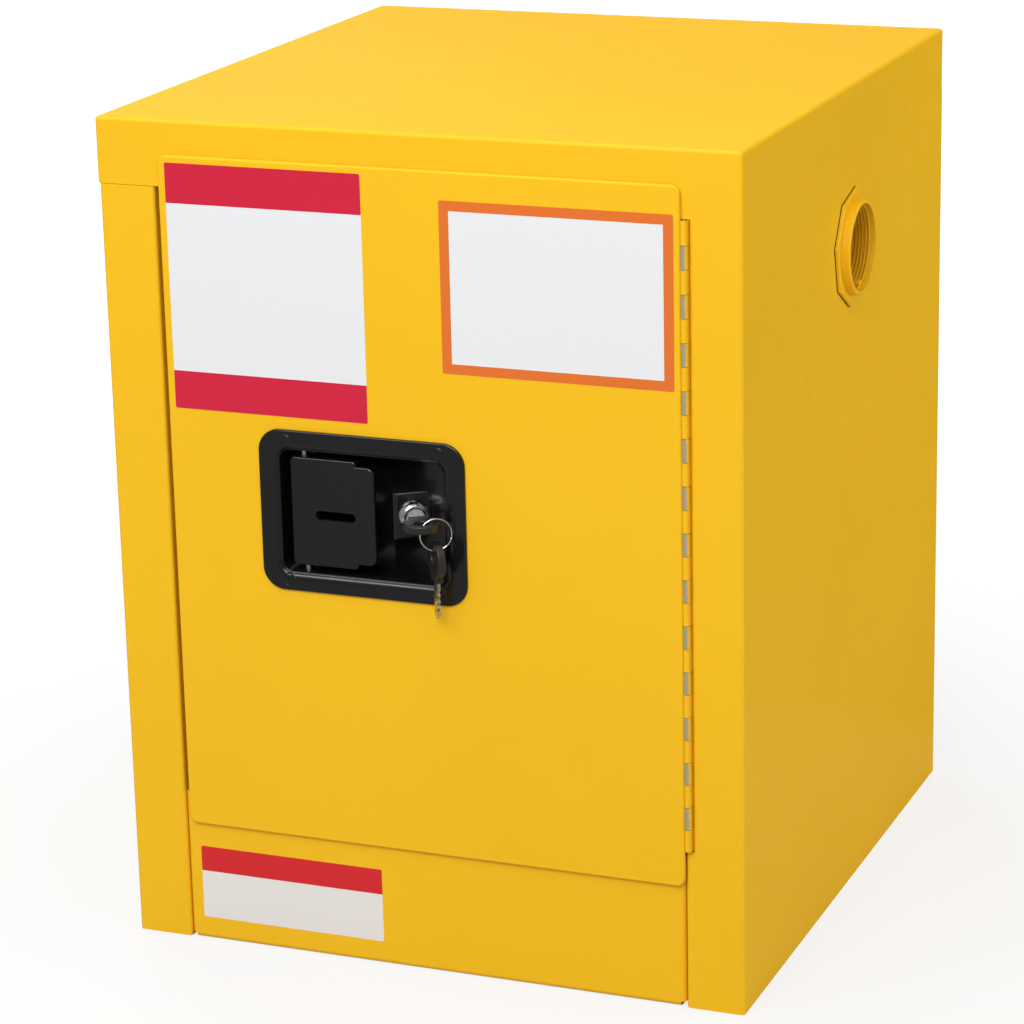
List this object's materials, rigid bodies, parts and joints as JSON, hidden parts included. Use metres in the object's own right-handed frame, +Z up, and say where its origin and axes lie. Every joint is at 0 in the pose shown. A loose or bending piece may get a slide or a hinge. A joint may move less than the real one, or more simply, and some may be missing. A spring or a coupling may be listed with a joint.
{
  "type": "safety cabinet",
  "caption": "Small bench-top safety cabinet for hazardous liquids: double-walled steel box with a hinged door, recessed paddle latch with key lock, vents, sump and shelf.",
  "frame": {"origin": "on the floor under the middle of the box", "axes": "+X to the right seen from the front, front facing -Y, +Z up"},
  "size_m": [0.4472, 0.5012, 0.559],
  "materials": {
    "cabinet_paint": "satin powder coat",
    "liner_paint": "satin powder coat",
    "latch_black": "satin black powder coat",
    "zinc_steel": "zinc plated",
    "lock_chrome": "polished",
    "key_nickel": "nickel-washed brass",
    "key_head": "moulded",
    "screen_steel": "woven wire",
    "bare_steel": "bright steel"
  },
  "bodies": {
    "cabinet": {"top_cap": "cabinet_paint", "left_side_panel": "cabinet_paint", "right_side_panel": "cabinet_paint", "back_panel": "cabinet_paint", "base_pan": "cabinet_paint", "sill_panel": "cabinet_paint", "head_jamb": "cabinet_paint", "left_liner": "liner_paint", "right_liner": "liner_paint", "back_liner": "liner_paint", "top_liner": "liner_paint", "sump_tray": "liner_paint", "tray_bearers": "zinc_steel", "vent_bung_right": "cabinet_paint", "vent_bung_left": "cabinet_paint", "vent_rings": "zinc_steel", "flame_screens": "screen_steel", "hinge_frame_leaf": "cabinet_paint", "hinge_pin": "bare_steel", "strike_plate": "zinc_steel", "shelf_standards": "zinc_steel", "shelf_clips": "zinc_steel", "earth_stud": "bare_steel", "earth_washer": "zinc_steel", "earth_nut": "zinc_steel"},
    "door": {"door_skin": "cabinet_paint", "door_inner_pan": "cabinet_paint", "hinge_door_leaf": "bare_steel", "latch_dish": "latch_black", "dish_studs": "zinc_steel", "dish_nuts": "zinc_steel", "paddle_pin": "bare_steel", "bolt_guide": "zinc_steel", "lock_cylinder": "lock_chrome"},
    "paddle": {"paddle": "latch_black"},
    "latch_bolt": {"latch_bolt": "zinc_steel"},
    "lock_plug": {"lock_plug": "lock_chrome", "lock_cam": "zinc_steel", "cam_screw": "zinc_steel", "key_blade": "key_nickel", "key_bow": "key_head"},
    "key_ring": {"key_ring": "lock_chrome"},
    "spare_key": {"spare_key_blade": "key_nickel", "spare_key_bow": "key_head"},
    "shelf": {"shelf": "zinc_steel"}
  },
  "joints": [
    {"name": "door_hinge", "type": "hinge", "parent": "cabinet", "child": "door", "pos_m": [0.1799, -0.2301, 0.31], "axis": [0, 0, 1], "range_deg": [0, 175]},
    {"name": "paddle_pull", "type": "hinge", "parent": "door", "child": "paddle", "pos_m": [-0.079, -0.226, 0.31], "axis": [0, 0, -1], "range_deg": [0, 28], "stiffness_Nm_per_rad": 0.3},
    {"name": "bolt_slide", "type": "slide", "parent": "door", "child": "latch_bolt", "axis": [1, 0, 0], "range_m": [0, 0.01193]},
    {"name": "key_turn", "type": "hinge", "parent": "door", "child": "lock_plug", "pos_m": [-0.0045, -0.22565, 0.3125], "axis": [-0.5736, 0.8192, 0], "range_deg": [0, 90]},
    {"name": "ring_swing", "type": "hinge", "parent": "lock_plug", "child": "key_ring", "pos_m": [0.01778, -0.24265, 0.3125], "axis": [0.5736, -0.8192, 0], "range_deg": [-15, 5]},
    {"name": "spare_key_swing", "type": "hinge", "parent": "key_ring", "child": "spare_key", "pos_m": [0.01778, -0.24265, 0.29645], "axis": [0.8192, 0.5736, 0], "range_deg": [-20, 5]},
    {"name": "shelf_lift", "type": "slide", "parent": "cabinet", "child": "shelf", "axis": [0, 0, 1], "range_m": [0, 0.06]}
  ],
  "couplings": [
    {"joint": "bolt_slide", "follows": "paddle_pull", "m_per_rad": 0.024209}
  ]
}
